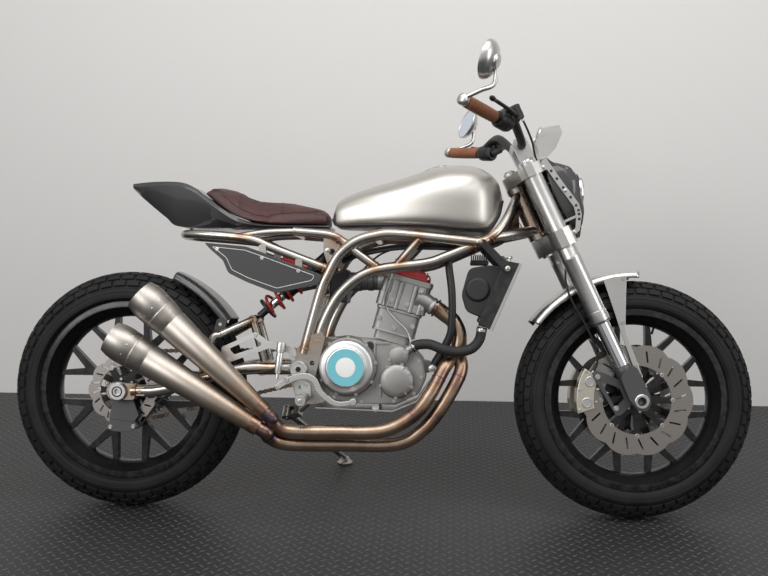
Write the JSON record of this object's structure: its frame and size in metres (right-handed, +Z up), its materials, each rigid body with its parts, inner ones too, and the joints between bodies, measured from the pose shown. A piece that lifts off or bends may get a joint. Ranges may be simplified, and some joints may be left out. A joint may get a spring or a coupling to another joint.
{
  "type": "flat track motorcycle",
  "caption": "Flat track motorcycle with single-cylinder engine, trellis frame, conical silencers, lamp mask and kicked-up tail, leaning on its side stand.",
  "frame": {"origin": "on the ground, under the centre of the whole machine as it leans on its side stand", "axes": "+X towards the front wheel, +Y to the rider's left, where the side stand is, +Z up"},
  "size_m": [2.1748, 0.9336, 1.3417],
  "materials": {
    "satin_black": "satin",
    "polished_aluminium": "polished",
    "cast_aluminium": "as cast",
    "bare_steel": "clear coated, heat tinted at the welds",
    "brushed_titanium": "brushed, heat tinted",
    "hard_chrome": "mirror",
    "hose_rubber": "matt",
    "disc_steel": "ground",
    "gloss_black": "gloss",
    "tyre": "matt rubber",
    "tank_metal": "brushed, satin champagne",
    "grip_leather": "wrapped",
    "carbon_weave": "gloss over weave",
    "seat_leather": "padded, stitched",
    "red_lacquer": "gloss"
  },
  "bodies": {
    "chassis": {"brake_pedal": "polished_aluminium", "clutch_cover": "polished_aluminium", "crankcase": "cast_aluminium", "cylinder": "cast_aluminium", "drive_chain": "bare_steel", "drive_sprocket": "bare_steel", "engine_hanger": "satin_black", "exhaust_hanger": "polished_aluminium", "exhaust_pipes": "brushed_titanium", "footrest_left": "polished_aluminium", "footrest_right": "polished_aluminium", "frame": "bare_steel", "fuel_tank": "tank_metal", "gear_lever": "polished_aluminium", "intake": "satin_black", "radiator": "satin_black", "radiator_hose": "hose_rubber", "rear_axle": "polished_aluminium", "rear_caliper": "cast_aluminium", "rear_hugger": "carbon_weave", "seat": "seat_leather", "shock_body": "satin_black", "shock_spring": "red_lacquer", "side_panel_left": "carbon_weave", "side_panel_right": "carbon_weave", "silencer_lower": "brushed_titanium", "silencer_upper": "brushed_titanium", "skid_plate": "polished_aluminium", "swing_arm": "bare_steel", "swing_arm_pivot": "polished_aluminium", "tail_cowl": "carbon_weave", "valve_cover": "red_lacquer"},
    "steering": {"brake_lever": "satin_black", "clutch_lever": "satin_black", "fork_leg_left": "hard_chrome", "fork_leg_right": "hard_chrome", "fork_yokes": "polished_aluminium", "front_axle": "polished_aluminium", "front_brake_hose": "hose_rubber", "front_caliper_left": "cast_aluminium", "front_caliper_right": "cast_aluminium", "front_fender": "polished_aluminium", "grip_left": "grip_leather", "grip_right": "grip_leather", "handlebar": "satin_black", "headlamp": "gloss_black", "lamp_bracket": "polished_aluminium", "lamp_mask": "carbon_weave", "mirror_left": "polished_aluminium", "mirror_right": "polished_aluminium"},
    "front_wheel": {"front_disc_left": "disc_steel", "front_disc_right": "disc_steel", "front_rim": "gloss_black", "front_tyre": "tyre"},
    "rear_wheel": {"rear_disc": "disc_steel", "rear_rim": "gloss_black", "rear_sprocket": "bare_steel", "rear_tyre": "tyre"},
    "side_stand": {"side_stand": "bare_steel"}
  },
  "joints": [
    {"name": "steering_hinge", "type": "hinge", "parent": "chassis", "child": "steering", "pos_m": [0.44493, -0.06334, 0.8527], "axis": [-0.4285, 0.1569, 0.8898], "range_deg": [-35, 29]},
    {"name": "front_wheel_spin", "type": "hinge", "parent": "steering", "child": "front_wheel", "pos_m": [0.74442, -0.15154, 0.33817], "axis": [-0.0474, 0.9796, -0.1955], "continuous": true},
    {"name": "rear_wheel_spin", "type": "hinge", "parent": "chassis", "child": "rear_wheel", "pos_m": [-0.73952, -0.153, 0.34482], "axis": [-0.0001, 0.9848, -0.1736], "continuous": true},
    {"name": "side_stand_hinge", "type": "hinge", "parent": "chassis", "child": "side_stand", "pos_m": [-0.28957, -0.02722, 0.24016], "axis": [0.0405, 0.6882, 0.7244], "range_deg": [0, 100]}
  ]
}
